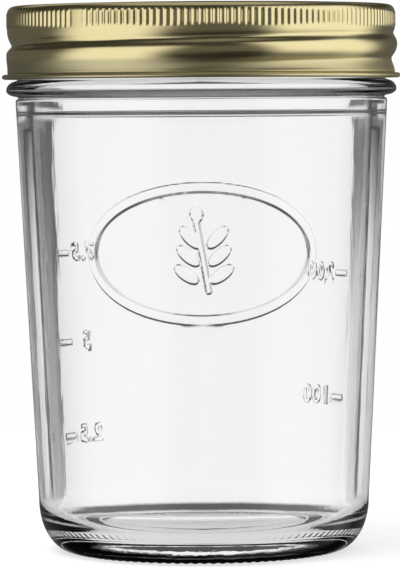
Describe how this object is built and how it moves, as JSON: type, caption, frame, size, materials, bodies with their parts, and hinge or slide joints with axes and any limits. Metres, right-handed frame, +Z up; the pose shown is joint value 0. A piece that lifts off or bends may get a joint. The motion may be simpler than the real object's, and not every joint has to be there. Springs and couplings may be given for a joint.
{
  "type": "preserving jar",
  "caption": "Round preserving jar of clear glass with a tapered wall and rounded heel, closed by a pressed lid disc, a sealing ring and a ribbed screw band.",
  "frame": {"origin": "centre of the base, on the surface that the jar stands on", "axes": "+Z up along the jar's axis; the side seen in the picture faces -Y, with +X to its right"},
  "size_m": [0.0852, 0.0852, 0.1167],
  "materials": {
    "clear_glass": "clear, fire polished",
    "disc_lacquer": "gold lacquer on tinplate, satin",
    "seal_compound": "soft moulded compound, matt",
    "gold_lacquer": "gold lacquer on tinplate, satin"
  },
  "bodies": {
    "jar": {"glass_jar": "clear_glass"},
    "lid": {"lid_disc": "disc_lacquer"},
    "ring": {"sealing_ring": "seal_compound"},
    "band": {"screw_band": "gold_lacquer"}
  },
  "joints": [
    {"name": "lid_lift", "type": "slide", "parent": "jar", "child": "lid", "axis": [0, 0, 1], "range_m": [0, 0.08]},
    {"name": "band_turn", "type": "hinge", "parent": "lid", "child": "ring", "pos_m": [0, 0, 0.1146], "axis": [0, 0, 1], "range_deg": [0, 400]},
    {"name": "band_rise", "type": "slide", "parent": "ring", "child": "band", "axis": [0, 0, 1], "range_m": [0, 0.006]}
  ],
  "couplings": [
    {"joint": "band_rise", "follows": "band_turn", "m_per_rad": 0.00080851}
  ]
}
